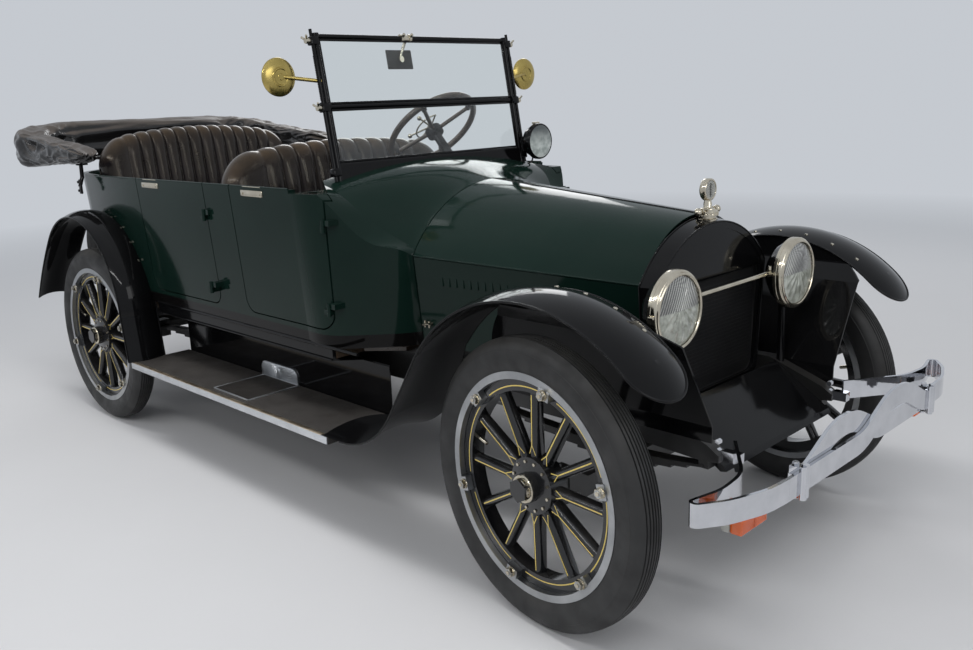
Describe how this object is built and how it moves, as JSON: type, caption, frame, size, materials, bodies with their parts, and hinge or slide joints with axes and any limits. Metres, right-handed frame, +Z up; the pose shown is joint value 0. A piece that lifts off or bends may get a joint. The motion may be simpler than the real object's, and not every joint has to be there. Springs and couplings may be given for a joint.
{
  "type": "brass era touring car",
  "caption": "Open five-seat touring car with wood-spoke wheels, folded top, hinged doors and hood, and steered front wheels.",
  "frame": {"origin": "on the floor under the middle of the car's overall box", "axes": "+X forward, +Y to the car's left, +Z up"},
  "size_m": [4.575, 1.62, 1.7607],
  "materials": {
    "amber_lens": "amber lens",
    "black_frame": "satin black",
    "black_paint": "gloss black",
    "black_rim": "dark varnished wood",
    "board_mat": "dark mat",
    "brass_mirror": "polished brass",
    "cast_engine": "painted cast iron",
    "chrome_plate": "bright plate",
    "clear_glass": "clear glass",
    "exhaust_steel": "dull steel",
    "floor_wood": "dark boards",
    "forged_steel": "painted forging",
    "green_paint": "gloss dark green",
    "lamp_glass": "ribbed glass",
    "nickel": "nickel plate",
    "radiator_grille": "black cellular core",
    "seat_leather": "dark brown pleated leather",
    "top_vinyl": "black coated cloth",
    "tyre_rubber": "matt rubber",
    "wire_cover": "black covered wire",
    "wood_wheel": "gloss black wood with yellow lines and steel rim"
  },
  "bodies": {
    "root": {"body_tub": "green_paint", "chassis_frame": "black_frame", "cowl": "green_paint", "dash_and_firewall": "floor_wood", "driver_controls": "forged_steel", "engine_block": "cast_engine", "exhaust": "exhaust_steel", "floor_boards": "floor_wood", "folded_top": "top_vinyl", "front_axle": "forged_steel", "front_bumper": "chrome_plate", "front_fenders": "black_paint", "front_seat": "seat_leather", "fuel_tank": "black_frame", "headlamp_lenses": "lamp_glass", "headlamps": "black_paint", "leaf_springs": "forged_steel", "radiator_cap": "nickel", "radiator_core": "radiator_grille", "radiator_shell": "black_paint", "rear_axle": "forged_steel", "rear_fenders": "black_paint", "rear_seat": "seat_leather", "running_boards": "board_mat", "seat_boxes": "floor_wood", "side_mirrors": "brass_mirror", "spare_carrier": "black_frame", "spare_rim": "nickel", "spare_tyre": "tyre_rubber", "splash_aprons": "black_paint", "spot_lamp": "black_paint", "spot_lamp_wire": "wire_cover", "steering_column": "black_paint", "step_mats": "board_mat", "tail_lamp": "black_paint", "top_irons": "black_paint", "transmission": "black_frame", "turn_lamps": "amber_lens", "windshield_frame": "black_paint", "windshield_glass": "clear_glass"},
    "wheel_front_right": {"wheel_front_right": "wood_wheel", "tyre_front_right": "tyre_rubber"},
    "wheel_rear_right": {"wheel_rear_right": "wood_wheel", "tyre_rear_right": "tyre_rubber"},
    "knuckle_right": {"knuckle_right": "forged_steel"},
    "hood_top_right": {"hood_top_right": "green_paint"},
    "hood_side_right": {"hood_side_right": "green_paint"},
    "door_front_right": {"door_front_right": "green_paint"},
    "door_rear_right": {"door_rear_right": "green_paint"},
    "wheel_front_left": {"wheel_front_left": "wood_wheel", "tyre_front_left": "tyre_rubber"},
    "wheel_rear_left": {"wheel_rear_left": "wood_wheel", "tyre_rear_left": "tyre_rubber"},
    "knuckle_left": {"knuckle_left": "forged_steel"},
    "hood_top_left": {"hood_top_left": "green_paint"},
    "hood_side_left": {"hood_side_left": "green_paint"},
    "door_front_left": {"door_front_left": "green_paint"},
    "door_rear_left": {"door_rear_left": "green_paint"},
    "tie_rod": {"tie_rod": "forged_steel"},
    "steering_wheel": {"steering_wheel": "black_rim"}
  },
  "joints": [
    {"name": "steer_right", "type": "hinge", "parent": "root", "child": "knuckle_right", "pos_m": [1.6335, -0.62, 0.4], "axis": [0, 0, 1], "range_deg": [-24.2, 35.8]},
    {"name": "steer_left", "type": "hinge", "parent": "root", "child": "knuckle_left", "pos_m": [1.6335, 0.62, 0.4], "axis": [0, 0, 1], "range_deg": [-24.2, 35.8]},
    {"name": "front_wheel_right_roll", "type": "hinge", "parent": "knuckle_right", "child": "wheel_front_right", "pos_m": [1.6243, -0.71053, 0.432], "axis": [0.1011, 0.9949, 0], "continuous": true},
    {"name": "rear_wheel_right_roll", "type": "hinge", "parent": "root", "child": "wheel_rear_right", "pos_m": [-1.2875, -0.711, 0.432], "axis": [0, 1, 0], "continuous": true},
    {"name": "front_wheel_left_roll", "type": "hinge", "parent": "knuckle_left", "child": "wheel_front_left", "pos_m": [1.6427, 0.71053, 0.432], "axis": [0.1011, 0.9949, 0], "continuous": true},
    {"name": "rear_wheel_left_roll", "type": "hinge", "parent": "root", "child": "wheel_rear_left", "pos_m": [-1.2875, 0.711, 0.432], "axis": [0, 1, 0], "continuous": true},
    {"name": "tie_rod_swing", "type": "hinge", "parent": "knuckle_right", "child": "tie_rod", "pos_m": [1.48427, -0.60484, 0.33], "axis": [0, 0, 1], "range_deg": [-36, 24.5]},
    {"name": "steering_wheel_turn", "type": "hinge", "parent": "root", "child": "steering_wheel", "pos_m": [0.0725, 0.335, 1.38], "axis": [-0.6909, 0, 0.723], "range_deg": [-242, 358]},
    {"name": "door_front_right_swing", "type": "hinge", "parent": "root", "child": "door_front_right", "pos_m": [0.577, -0.655, 0.94], "axis": [0, 0, 1], "range_deg": [0, 60]},
    {"name": "door_rear_right_swing", "type": "hinge", "parent": "root", "child": "door_rear_right", "pos_m": [-0.197, -0.69321, 0.94], "axis": [0, 0, 1], "range_deg": [0, 65]},
    {"name": "door_front_left_swing", "type": "hinge", "parent": "root", "child": "door_front_left", "pos_m": [0.577, 0.655, 0.94], "axis": [0, 0, -1], "range_deg": [0, 60]},
    {"name": "door_rear_left_swing", "type": "hinge", "parent": "root", "child": "door_rear_left", "pos_m": [-0.197, 0.69321, 0.94], "axis": [0, 0, -1], "range_deg": [0, 65]},
    {"name": "hood_top_right_lift", "type": "hinge", "parent": "root", "child": "hood_top_right", "pos_m": [0.7825, 0, 1.209], "axis": [-0.996, 0, 0.0897], "range_deg": [0, 60]},
    {"name": "hood_side_right_hang", "type": "hinge", "parent": "hood_top_right", "child": "hood_side_right", "pos_m": [0.7885, -0.422, 0.972], "axis": [-0.9905, -0.1346, 0.0298], "range_deg": [-60, 0]},
    {"name": "hood_top_left_lift", "type": "hinge", "parent": "root", "child": "hood_top_left", "pos_m": [0.7825, 0, 1.209], "axis": [0.996, 0, -0.0897], "range_deg": [0, 60]},
    {"name": "hood_side_left_hang", "type": "hinge", "parent": "hood_top_left", "child": "hood_side_left", "pos_m": [0.7885, 0.422, 0.972], "axis": [0.9905, -0.1346, -0.0298], "range_deg": [-60, 0]}
  ],
  "couplings": [
    {"joint": "steer_left", "follows": "steer_right", "ratio": 1},
    {"joint": "tie_rod_swing", "follows": "steer_right", "ratio": -1},
    {"joint": "steering_wheel_turn", "follows": "steer_right", "ratio": 10},
    {"joint": "hood_side_right_hang", "follows": "hood_top_right_lift", "ratio": -1},
    {"joint": "hood_side_left_hang", "follows": "hood_top_left_lift", "ratio": -1}
  ]
}
